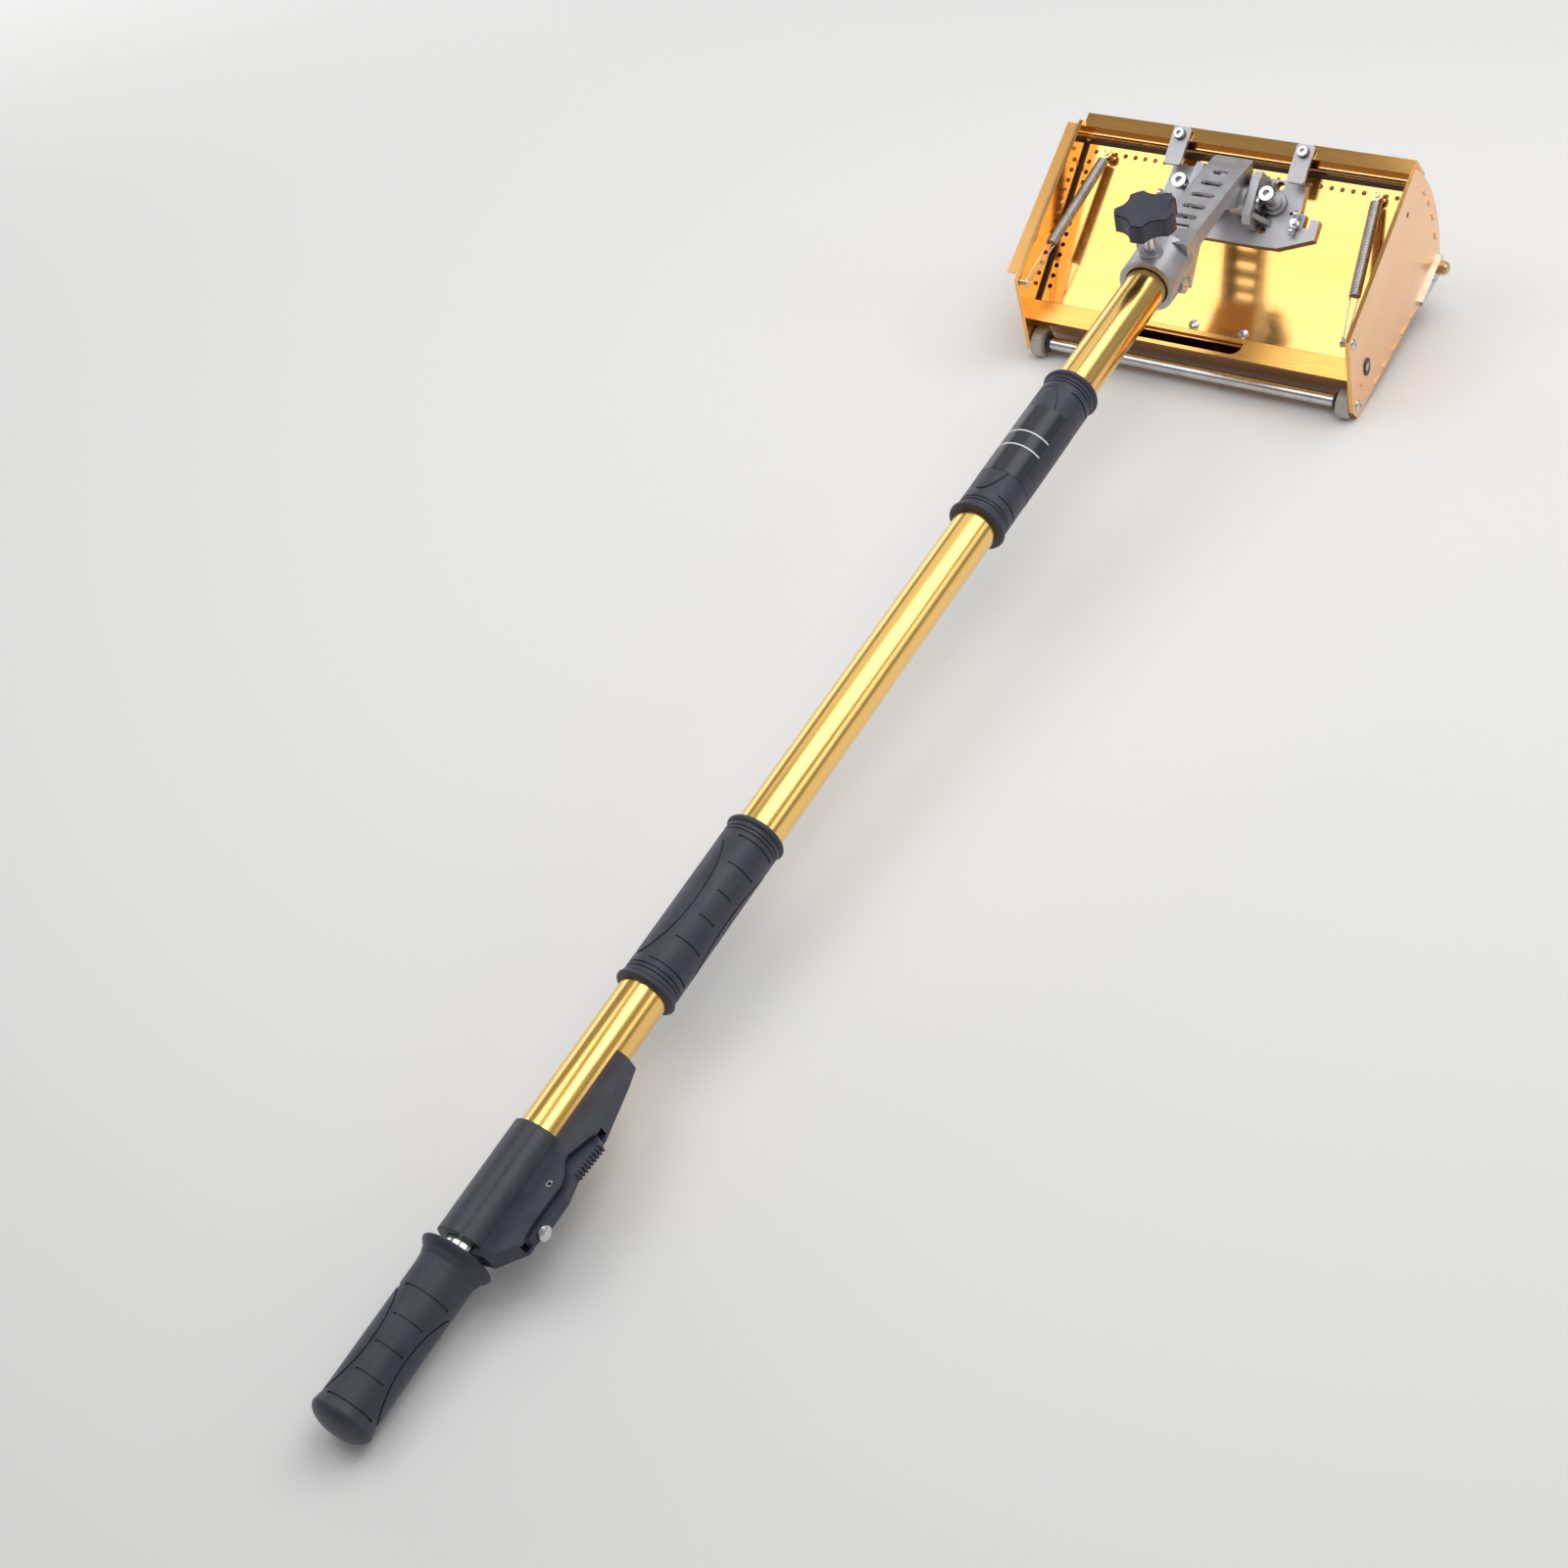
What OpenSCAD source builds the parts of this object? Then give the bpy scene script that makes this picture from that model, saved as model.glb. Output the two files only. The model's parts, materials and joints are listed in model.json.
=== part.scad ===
// Drywall flat finishing box, 10 inch, on an extendable locking handle.
// The tool stands as it is laid down on a floor: on its two wheels and on
// the end of the handle. +Z is up, +X runs along the width of the box, and
// +Y points from the handle towards the box.
//
// Two working frames are used. The box frame has y up along the pressure
// plate and z out of it towards the handle. The pole frame has z along the
// handle, from the head down to the end grip, and y out of its upper side.

/* [Box] */
// width over the two side plates
box_w = 254; // [177:1:305]
// thickness of a side plate
side_t = 3.2; // [2:0.1:5]
// reach of a side plate from the plate hinge to its curved edge
side_r = 133.5; // [120:0.5:150]
// inner radius of the curved wall, centred on the plate hinge
wall_r = 124.5; // [110:0.5:140]
// thickness of the folded sheets
sheet_t = 2.5; // [1:0.1:4]
// outward lip on the left side plate
lip_w = 8; // [0:0.5:15]

/* [Pressure plate] */
// thickness of the pressure plate
plate_t = 2.5; // [1.5:0.1:5]
// diameter of the seal holes
seal_hole_d = 3.5; // [2:0.1:5]
// distance from one seal hole to the next
seal_pitch = 7.9; // [5:0.1:15]
// diameter of the hinge rod
hinge_d = 6; // [4:0.1:10]

/* [Wheels] */
// diameter of a wheel
wheel_d = 21.5; // [15:0.5:40]
// width of a wheel
wheel_w = 9.4; // [5:0.1:15]
// diameter of the rod between the wheels
axle_d = 9; // [6:0.1:12]

/* [Head] */
// angle between the pole and the pressure plate
pole_angle = 34.4; // [20:0.1:60]
// diameter of the pivot axle
pivot_d = 8; // [5:0.1:12]
// width of the cast yoke
yoke_w = 29; // [20:0.5:40]
// outer diameter of the clamp ring
ring_d = 40; // [34:0.5:50]
// diameter of the star knob over its lobes
knob_d = 42; // [30:1:60]

/* [Pole] */
// outer diameter of the outer tube
tube_d = 29; // [25:0.1:38]
// wall of the outer tube
tube_wall = 1.75; // [1:0.05:3]
// outer diameter of the inner tube
inner_d = 21; // [16:0.1:25]
// wall of the inner tube
inner_wall = 1.5; // [1:0.05:3]
// outer diameter of the upper grip
upper_grip_d = 35.4; // [32:0.1:45]
// outer diameter of the middle grip
middle_grip_d = 34.2; // [32:0.1:45]
// outer diameter of the end grip
end_grip_d = 32.4; // [28:0.1:45]

/* [Lock] */
// outer diameter of the lock sleeve
lock_d = 34; // [32:0.5:45]
// thickness of the lock body
lock_t = 10; // [8:0.1:20]
// how far the lock body is turned round the pole from the width
lock_turn = 16; // [0:1:90]
// thickness of the lever
lever_t = 5; // [3:0.1:8]

/* [Hidden] */
$fn = 64;

gold = [0.86, 0.63, 0.22];
cast_grey = [0.62, 0.62, 0.64];
steel = [0.80, 0.81, 0.83];
black = [0.13, 0.13, 0.15];
rubber = [0.10, 0.10, 0.10];
wheel_grey = [0.45, 0.42, 0.38];
brass = [0.78, 0.62, 0.30];
band_grey = [0.40, 0.40, 0.43];

x_out = box_w / 2;
x_in = x_out - side_t;
wheel_x = x_in - 0.4 - wheel_w / 2;

// box frame, [y, z]
hinge = [1, -9];
axle = [-24.6, -16.3];
plate_top = 121.2;
plate_foot = 1.6;
kink = [2.5, 40.3];
top_corner = [131.9, 17.2];
foot = [-32, -23.6];
mouth = [97, -95];
wall_dir = (mouth - foot) / norm(mouth - foot);
wall_turn = atan2(wall_dir[1], wall_dir[0]);
pan_len = 127;
anchor = [4.5, 32];
spring_top = [102.7, 114.4, 5.5];
latch_at = [46.5, 131.7];
blade_at = [99, -89];

// handle, [y, z] in the box frame, and stations along the pole
pivot = [93, 17];
pole_root = [96.8, 32.9];
ring_end = 116;
ring_start = 84;
knob_at = 104.5;
tube_start = 82;
tube_end = 900;
upper_grip_at = [227, 359];
middle_grip_at = [621, 739.6];
sleeve_at = [838, 907];
end_grip_at = [913.5, 1018];
inner_start = 425;
lever_pin = [863, 30.6];

tube_r = tube_d / 2;
bore_r = tube_r - tube_wall;
inner_r = inner_d / 2;

// how the box frame is turned so that the wheels and the end grip both
// touch the floor, from the line through the axle and the grip's far edge
pole_dir = [-cos(pole_angle), sin(pole_angle)];
pole_up = [sin(pole_angle), cos(pole_angle)];
grip_foot = pole_root + pole_dir * 1010 - pole_up * 17.4;
rest_line = grip_foot - axle;
tilt = 90 - (atan2(rest_line[1], rest_line[0]) - 90
             - asin(wheel_d / 2 / norm(rest_line)));
floor_z = wheel_d / 2 - (axle[0] * sin(tilt) + axle[1] * cos(tilt));
origin_y = 410.04;

// ---------------------------------------------------------------- frames

module box_frame() {
    translate([0, origin_y, floor_z]) rotate([tilt, 0, 0]) children();
}

module pole_frame() {
    box_frame()
        translate([0, pole_root[0], pole_root[1]])
            rotate([90 - pole_angle, 0, 0]) children();
}

module lock_frame() {
    pole_frame() rotate([0, 0, lock_turn]) children();
}

// a [y, z] profile run along the width
module across(x0, x1) {
    translate([x0, 0, 0]) rotate([90, 0, 90]) linear_extrude(x1 - x0) children();
}

// a [station, height] profile of the pole frame, w wide about the middle
module along_pole(w) {
    rotate([0, -90, 0]) linear_extrude(w, center = true) children();
}

// a [station, reach] profile of the lock frame, t thick about the middle
module lock_layer(t) {
    rotate([-90, -90, 0]) linear_extrude(t, center = true) children();
}

module x_pin(p, r, x0, x1) {
    translate([x0, p[0], p[1]]) rotate([0, 90, 0]) cylinder(r = r, h = x1 - x0);
}

module both_sides() {
    children();
    mirror([1, 0, 0]) children();
}

// a cap screw along +Z with its seat at z = 0
module cap_screw(d, head_d, head_h, shank) {
    difference() {
        union() {
            cylinder(d = head_d, h = head_h);
            translate([0, 0, -shank]) cylinder(d = d, h = shank + 0.5);
        }
        translate([0, 0, head_h * 0.45])
            cylinder(d = head_d * 0.55, h = head_h, $fn = 6);
    }
}

// a low domed screw along +Z with its seat at z = 0
module pan_screw(d, head_d, head_h, shank) {
    difference() {
        union() {
            intersection() {
                cylinder(d = head_d, h = head_h);
                translate([0, 0, head_h - head_d * 0.75])
                    sphere(r = head_d * 0.75);
            }
            translate([0, 0, -shank]) cylinder(d = d, h = shank + 0.3);
        }
        translate([0, 0, head_h * 0.5])
            cylinder(d = head_d * 0.4, h = head_h, $fn = 6);
    }
}

// ------------------------------------------------------------ box sheets

// the outline of a side plate: straight edges, and an arc about the hinge
module side_outline() {
    intersection() {
        translate(hinge) circle(r = side_r, $fn = 128);
        polygon([foot, [-31.8, -12.6], kink,
                 kink + (top_corner - kink) * 1.2,
                 [150, -88.6], [108.2, -88.6], mouth]);
    }
}

// where the sheets' tabs come through the side plates:
// [y, z, angle of the tab, length]
arc_tabs = [for (a = [-1.5, -9, -17, -26])
    [hinge[0] + (wall_r + sheet_t / 2) * cos(a),
     hinge[1] + (wall_r + sheet_t / 2) * sin(a), a + 90, 7]];
pan_tabs = [for (i = [0:4])
    let (p = foot + wall_dir * (34 + 16.5 * i)
             + [-wall_dir[1], wall_dir[0]] * 2.6)
    [p[0], p[1], wall_turn, 7]];
fold_tabs = [[-11.4, -9, 90, 8]];

module tabs(list, grow) {
    for (t = list)
        translate([t[0], t[1]]) rotate(t[2])
            square([t[3] + grow, sheet_t * 0.8 + grow], center = true);
}

module side_plate(side) {
    x0 = side > 0 ? x_in : -x_out;
    color(gold) box_frame() {
        difference() {
            across(x0, x0 + side_t) difference() {
                side_outline();
                tabs(concat(arc_tabs, pan_tabs, fold_tabs), 0.3);
            }
            x_pin(hinge, 5, x0 - 1, x0 + side_t + 1);
            x_pin(axle, 3.05, x0 - 1, x0 + side_t + 1);
            x_pin(anchor, 2.05, x0 - 1, x0 + side_t + 1);
            x_pin([103.8, 5.6], 2, x0 - 1, x0 + side_t + 1);
            x_pin(blade_at, 4.05, x0 - 1, x0 + side_t + 1);
        }
        if (side < 0)
            across(-x_out - lip_w, -x_out + 0.01)
                edge_strip(kink, top_corner, 2, 6);
    }
}

// a strip t thick just inside the line from a to b, shorter at each end
module edge_strip(a, b, t, short) {
    d = (b - a) / norm(b - a);
    n = [d[1], -d[0]];
    polygon([a + d * short, b - d * short / 2,
             b - d * short / 2 + n * t, a + d * short + n * t]);
}

module side_plate_left() { side_plate(-1); }
module side_plate_right() { side_plate(1); }

module curved_wall() {
    color(gold) box_frame() {
        across(-x_in, x_in) intersection() {
            translate(hinge) difference() {
                circle(r = wall_r + sheet_t, $fn = 128);
                circle(r = wall_r, $fn = 128);
            }
            polygon([hinge, hinge + [200, 200 * tan(2.6)],
                     hinge + [200, -200 * tan(32.5)]]);
        }
        both_sides() across(x_in - 0.01, x_out + 0.5) tabs(arc_tabs, 0);
    }
}

// the folded sheet that closes the wheel side and the wall side
module body_pan() {
    n = [-wall_dir[1], wall_dir[0]];
    start = [-12.6, foot[1] + (-12.6 - foot[0]) * wall_dir[1] / wall_dir[0]];
    color(gold) box_frame() {
        across(-x_in, x_in) polygon([
            [-12.6, -2.9], [-12.6, start[1] + 1.8],
            start + n * 1.4 + wall_dir * 2, foot + wall_dir * pan_len + n * 1.4,
            foot + wall_dir * pan_len + n * (1.4 + sheet_t),
            start + n * (1.4 + sheet_t) + wall_dir * 4,
            [-12.6 + sheet_t, start[1] + 6], [-12.6 + sheet_t, -2.9]]);
        // the lip beside the outlet is folded inwards
        across(-x_in, x_in)
            translate(foot + wall_dir * (pan_len - sheet_t) + n * 1.5)
                rotate(wall_turn) square([sheet_t, 9]);
        both_sides() across(x_in - 0.01, x_out + 0.5)
            tabs(concat(pan_tabs, fold_tabs), 0);
    }
}

// the strip under the pressure plate, with its window in the middle
module front_strip() {
    color(gold) box_frame()
        difference() {
            union() {
                across(-x_in, x_in) square_yz(-14, 0.6, 0, 3);
                across(-x_in, x_in) square_yz(-14, -11.6, -2.6, 0.1);
            }
            translate([-39, -11.5, -1]) linear_extrude(5) strip_window();
        }
}

module square_yz(y0, y1, z0, z1) {
    translate([y0, z0]) square([y1 - y0, z1 - z0]);
}

// a window with a round lower corner on its right
module strip_window() {
    difference() {
        square([80, 9.2]);
        difference() {
            translate([71, -0.1]) square([9.1, 9.1]);
            translate([71, 9]) circle(r = 9);
        }
    }
}

// the folded rail over the top, with a step down to the seal
module top_rail() {
    color(gold) box_frame() difference() {
        union() {
            across(-x_in, x_in) polygon([
                [126.2, -3], [126.2, 7], [129.2, 7], [129.2, 14],
                [139.6, 12.2], [139.6, -3]]);
            // it wraps over the ends of the side plates
            across(-x_in, x_in) square_yz(137.6, 139.6, -12, -3);
        }
        across(-x_in - 1, x_in + 1) polygon([
            [128.4, -4], [128.4, 4.6], [133, 4.6], [133, 10.9],
            [137.4, 10.1], [137.4, -4]]);
        both_sides() translate([latch_at[0], latch_at[1], 6])
            cylinder(r = 2.05, h = 12);
    }
}

// ----------------------------------------------------- outlet and blade

// the bar at the outlet that holds the blade, with a round end each side
module blade_holder() {
    color(steel) box_frame() difference() {
        union() {
            across(-x_in + 0.2, x_in - 0.2)
                translate(blade_at) rotate(wall_turn)
                    square([9, 8], center = true);
            x_pin(blade_at, 4, -x_out - 8, x_out + 8);
        }
        across(-x_in, x_in)
            translate(blade_at) rotate(wall_turn)
                translate([-2.6, -4.1]) square([1.3, 6]);
    }
}

module blade() {
    color(steel) box_frame() across(-x_in + 1, x_in - 1)
        translate(blade_at) rotate(wall_turn)
            translate([-2.5, -7.4]) square([1.1, 9]);
}

// a hard steel runner on the corner of a side plate
module skid(side) {
    n = [-wall_dir[1], wall_dir[0]];
    color(steel) box_frame()
        mirror([side > 0 ? 0 : 1, 0, 0]) {
            difference() {
                across(x_out, x_out + 2.6) intersection() {
                    polygon([mouth - wall_dir * 34 - n * 1.2,
                             mouth + wall_dir * 3 - n * 1.2,
                             mouth + wall_dir * 9 + n * 11,
                             mouth - wall_dir * 4 + n * 10,
                             mouth - wall_dir * 34 + n * 3.2]);
                    translate(hinge) circle(r = side_r, $fn = 128);
                }
                x_pin(blade_at, 4.05, x_out - 1, x_out + 4);
            }
            p = mouth - wall_dir * 12 + n * 4.4;
            translate([x_out + 2.5, p[0], p[1]]) rotate([0, 90, 0])
                pan_screw(2.4, 4.4, 1.4, 2);
        }
}

module skid_left() { skid(-1); }
module skid_right() { skid(1); }

// the nut and the domed button on the end of the blade holder
module crown_nut(side) {
    color(brass) box_frame() mirror([side > 0 ? 0 : 1, 0, 0]) {
        difference() {
            x_pin_hex(blade_at, 5.4, x_out + 2.7, x_out + 7.2);
            x_pin(blade_at, 4.02, x_out, x_out + 8.1);
        }
        translate([x_out + 8, blade_at[0], blade_at[1]]) rotate([0, 90, 0])
            intersection() {
                cylinder(r = 3.9, h = 2);
                translate([0, 0, -5]) sphere(r = 7);
            }
    }
}

module x_pin_hex(p, r, x0, x1) {
    translate([x0, p[0], p[1]]) rotate([0, 90, 0])
        cylinder(r = r, h = x1 - x0, $fn = 6);
}

module crown_nut_left() { crown_nut(-1); }
module crown_nut_right() { crown_nut(1); }

// --------------------------------------------------- hinge, wheels, axle

module hinge_rod() {
    color(steel) box_frame() x_pin(hinge, hinge_d / 2, -x_out - 0.6, x_out + 0.6);
}

// the black bushes that carry the hinge rod in the side plates
module hinge_bushes() {
    color(black) box_frame() both_sides() difference() {
        union() {
            x_pin(hinge, 4.95, x_in - 2.4, x_out + 0.3);
            across(x_out, x_out + 0.8) translate(hinge) rotate(60)
                slot_2d(14, 8.4);
        }
        x_pin(hinge, hinge_d / 2 + 0.02, x_in - 3, x_out + 2);
    }
}

module slot_2d(len, w) {
    square([len - w, w], center = true);
    for (s = [-1, 1]) translate([s * (len - w) / 2, 0]) circle(d = w);
}

module wheel_axle() {
    color(steel) box_frame() {
        x_pin(axle, axle_d / 2, -wheel_x + wheel_w / 2 + 4, wheel_x - wheel_w / 2 - 4);
        x_pin(axle, 3, -x_out, x_out);
    }
}

// a rubber ring and a steel collar inside each wheel
module axle_rings() {
    color(rubber) box_frame() both_sides() {
        translate([wheel_x - wheel_w / 2 - 2.2, axle[0], axle[1]])
            rotate([0, 90, 0]) difference() {
                rotate_extrude() translate([4.6, 0]) circle(d = 3.2, $fn = 24);
                translate([0, 0, -3]) cylinder(r = 3.02, h = 6);
            }
    }
}

module axle_screws() {
    color(steel) box_frame() both_sides()
        translate([x_out, axle[0], axle[1]]) rotate([0, 90, 0])
            pan_screw(3, 8, 2.2, 0);
}

module wheel(side) {
    color(wheel_grey) box_frame()
        translate([side * wheel_x, axle[0], axle[1]]) rotate([0, 90, 0])
            rotate_extrude() difference() {
                translate([3.06, -wheel_w / 2])
                    square([wheel_d / 2 - 3.06, wheel_w]);
                // the tread is crowned and the sides are dished
                for (s = [-1, 1]) {
                    translate([6.6, s * wheel_w / 2]) circle(r = 1.3, $fn = 24);
                    translate([wheel_d / 2, s * wheel_w / 2]) rotate(45)
                        square(1.7, center = true);
                }
            }
}

module wheel_left() { wheel(-1); }
module wheel_right() { wheel(1); }

// --------------------------------------------------- springs and latches

module anchor_screws() {
    color(steel) box_frame() both_sides() {
        translate([x_out, anchor[0], anchor[1]]) rotate([0, 90, 0])
            pan_screw(4, 7, 1.8, 8.4);
        translate([x_in - 5.2, anchor[0], anchor[1]]) rotate([0, 90, 0])
            cylinder(r = 3.6, h = 1.2);
    }
}

// one return spring: a close coil with a straight hooked wire at its foot
module return_spring(side) {
    foot_end = [x_in - 3.2, anchor[0] + 0.6, anchor[1] + 3];
    span = foot_end - spring_top;
    len = norm(span);
    head_gap = 6.2;
    color(steel) box_frame() mirror([side > 0 ? 0 : 1, 0, 0])
        translate(spring_top)
            rotate([0, acos(span[2] / len), atan2(span[1], span[0])]) {
                difference() {
                    translate([0, 0, 9]) cylinder(d = 8.6, h = len * 0.62);
                    translate([0, 0, 10]) cylinder(d = 6, h = len);
                }
                translate([0, 0, head_gap]) cylinder(d = 1.6, h = 4);
                for (s = [-1, 1]) translate([0, s * 1.8, 8 + len * 0.62])
                    cylinder(d = 1.4, h = len * 0.38 - 11.5);
                translate([0, 0, 8.9 + len * 0.62]) cylinder(d = 7.6, h = 1.2);
            }
}

module spring_left() { return_spring(-1); }
module spring_right() { return_spring(1); }

// a turn latch that keeps the pressure plate in
module latch(side) {
    color(cast_grey) box_frame()
        translate([side * latch_at[0], latch_at[1], 14.3]) difference() {
            linear_extrude(3) intersection() {
                translate([-6.4, -21.4]) square([12.8, 27.6]);
                union() {
                    translate([-6.4, -19.4]) square([12.8, 23.6]);
                    translate([-4.4, -21.4]) square([8.8, 27.6]);
                    for (x = [-4.4, 4.4], y = [-19.4, 4.2])
                        translate([x, y]) circle(r = 2, $fn = 32);
                }
            }
            translate([0, 0, -1]) cylinder(r = 2.06, h = 6);
        }
}

module latch_left() { latch(-1); }
module latch_right() { latch(1); }

module latch_screws() {
    color(steel) box_frame() both_sides()
        translate([latch_at[0], latch_at[1], 17.8])
            cap_screw(4, 7, 4, 10);
}

// black washers: one under each latch is seen above its top edge
module latch_washers() {
    color(black) box_frame() both_sides()
        translate([latch_at[0], latch_at[1], 0]) {
            difference() {
                translate([0, 1.2, 14]) cylinder(r = 6, h = 0.28);
                translate([0, 0, 13]) cylinder(r = 2.05, h = 3);
            }
            difference() {
                translate([0, 0, 17.32]) cylinder(r = 4, h = 0.46);
                translate([0, 0, 17]) cylinder(r = 2.05, h = 3);
            }
        }
}

// -------------------------------------------------------- pressure plate

module pressure_plate() {
    half = x_in - 2.3;
    n_top = floor((2 * half - 8) / seal_pitch);
    color(gold) box_frame() difference() {
        translate([-half, plate_foot, -plate_t])
            cube([2 * half, plate_top - plate_foot, plate_t]);
        for (i = [0:n_top])
            translate([(i - n_top / 2) * seal_pitch, plate_top - 5.4, -5])
                cylinder(d = seal_hole_d, h = 10);
        both_sides() for (i = [1:13])
            translate([half - 3.6, plate_top - 5.4 - i * seal_pitch, -5])
                cylinder(d = seal_hole_d, h = 10);
        for (x = [-37.4, 0, 37.4]) translate([x, 4.6, -5])
            cylinder(r = 2.05, h = 10);
        both_sides() {
            translate([spring_top[0], spring_top[1] - 0.6, -5])
                cylinder(r = 2.55, h = 10);
            translate([33, 97, -5]) cylinder(r = 3.05, h = 10);
        }
    }
}

// the rubber seal round the top and the sides of the plate
module plate_seal() {
    half = x_in - 2.3;
    color(rubber) box_frame() {
        translate([-half, plate_top, -plate_t])
            cube([2 * half, 3.2, plate_t + 1]);
        both_sides() translate([half, plate_foot, -plate_t])
            cube([2, plate_top + 1.6 - plate_foot, plate_t + 0.8]);
    }
}

// the bar under the plate that turns on the hinge rod
module hinge_bar() {
    color(gold) box_frame() difference() {
        union() {
            across(-118, 118) square_yz(-4, 6.6, hinge[1], -plate_t);
            x_pin(hinge, 5.2, -118, 118);
            across(-118, 118) square_yz(1, 9.6, -plate_t - 3, -plate_t);
        }
        x_pin(hinge, hinge_d / 2 + 0.06, -119, 119);
        for (x = [-37.4, 0, 37.4]) translate([x, 4.6, -5.4])
            cylinder(r = 2.05, h = 4);
    }
}

module plate_screws() {
    color(steel) box_frame() for (x = [-37.4, 0, 37.4])
        translate([x, 4.6, 0]) pan_screw(4, 7.4, 2.2, 4.6);
}

// the posts that the springs hook on
module spring_posts() {
    color(steel) box_frame() both_sides()
        translate([spring_top[0], spring_top[1] - 0.6, 0]) {
            difference() {
                union() {
                    translate([0, 0, -4]) cylinder(r = 2.5, h = 12);
                    cylinder(r = 3.4, h = 2.6);
                    translate([0, 0, 7]) cylinder(r = 4.2, h = 1.6);
                    translate([0, 0, 8.4]) cylinder(r = 2.4, h = 1.2);
                }
                translate([0, 0, 9]) cylinder(r = 1.1, h = 2, $fn = 24);
            }
        }
}

// ------------------------------------------------------------ head mount

mount_half = [[0, 115], [50.4, 115], [52.4, 93.5], [56.6, 93.5], [56.6, 84],
              [61, 84], [61, 91], [67.4, 91], [67.6, 77], [43, 67], [22, 66.4],
              [0, 66.4]];

// the grey plate on the pressure plate, with a hooked slot on each side
module mount_plate() {
    color(cast_grey) box_frame() difference() {
        both_sides() linear_extrude(4) polygon(mount_half);
        both_sides() {
            translate([32, 110.6, -1]) cylinder(r = 3.2, h = 6);
            translate([29, 77.6, -1]) cylinder(r = 2.8, h = 6);
            translate([33, 97, -1]) cylinder(r = 3.05, h = 6);
            translate([46, 92.5, -1]) cylinder(r = 1.2, h = 6);
            translate([52, 85, -1]) cylinder(r = 2.05, h = 6);
        }
    }
}

// a stud with a wing nut beside each hooked slot
module mount_studs() {
    color(steel) box_frame() both_sides() translate([52, 85, 0]) {
        cylinder(r = 2, h = 13);
        translate([0, 0, 4]) cylinder(r = 3.2, h = 3.4);
        translate([-1.2, -7, 5]) cube([2.4, 14, 5]);
        for (s = [-1, 1]) translate([-1.2, s * 6, 9]) rotate([0, 90, 0])
            cylinder(r = 3, h = 2.4);
    }
}

// a bracket that carries one end of the pivot axle
module bracket(side) {
    color(cast_grey) box_frame() mirror([side > 0 ? 0 : 1, 0, 0])
        difference() {
            union() {
                across(19, 25) polygon([[76, 4], [76, 19], [81, 24.5],
                                        [105, 26.5], [112.5, 24], [113, 4]]);
                // the foot under the cap screw, and the web up to the ear
                translate([19, 82, 4]) cube([9.4, 30, 3.4]);
                translate([19, 89.4, 4]) cube([14, 15.2, 3.4]);
                translate([33, 97, 4]) cylinder(r = 8, h = 3.4);
                translate([33, 97, 4]) cylinder(r = 5.6, h = 6.6);
                translate([24.9, 107, 0]) rotate([90, 0, 0])
                    linear_extrude(3.4) polygon([[0, 4], [0, 21], [6, 4]]);
                translate([24.9, 85, 0]) rotate([90, 0, 0])
                    linear_extrude(3.4) polygon([[0, 4], [0, 19], [9.6, 4]]);
            }
            translate([33, 97, 0]) cylinder(r = 3.05, h = 20);
            x_pin(pivot, pivot_d / 2 + 0.01, 18, 26);
        }
}

module bracket_left() { bracket(-1); }
module bracket_right() { bracket(1); }

// the long cap screws stand proud of the brackets
module cap_screws() {
    color(steel) box_frame() both_sides()
        translate([33, 97, 21.4]) cap_screw(6, 10.4, 6.2, 26);
}

module pivot_axle() {
    color(steel) box_frame() {
        x_pin(pivot, pivot_d / 2, -26.2, 26.2);
        both_sides() x_pin(pivot, 6, 25.1, 27.6);
    }
}

// ------------------------------------------------------------------ yoke

// the casting: a slotted channel, a barrel on the pivot and a clamp ring
yoke_top = [[-26, 3.5], [-2.8, 7.2], [63, 11], [80, 14.6], [92, 19.4]];
yoke_side = [[92, -19], [80, -12], [63, -2.6], [20, -2.8], [-20, -5.6], [-26, -5]];
// the pivot in the pole frame, [height, station]
pivot_up = (pivot - pole_root) * pole_up;
pivot_at = (pivot - pole_root) * pole_dir;

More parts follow.
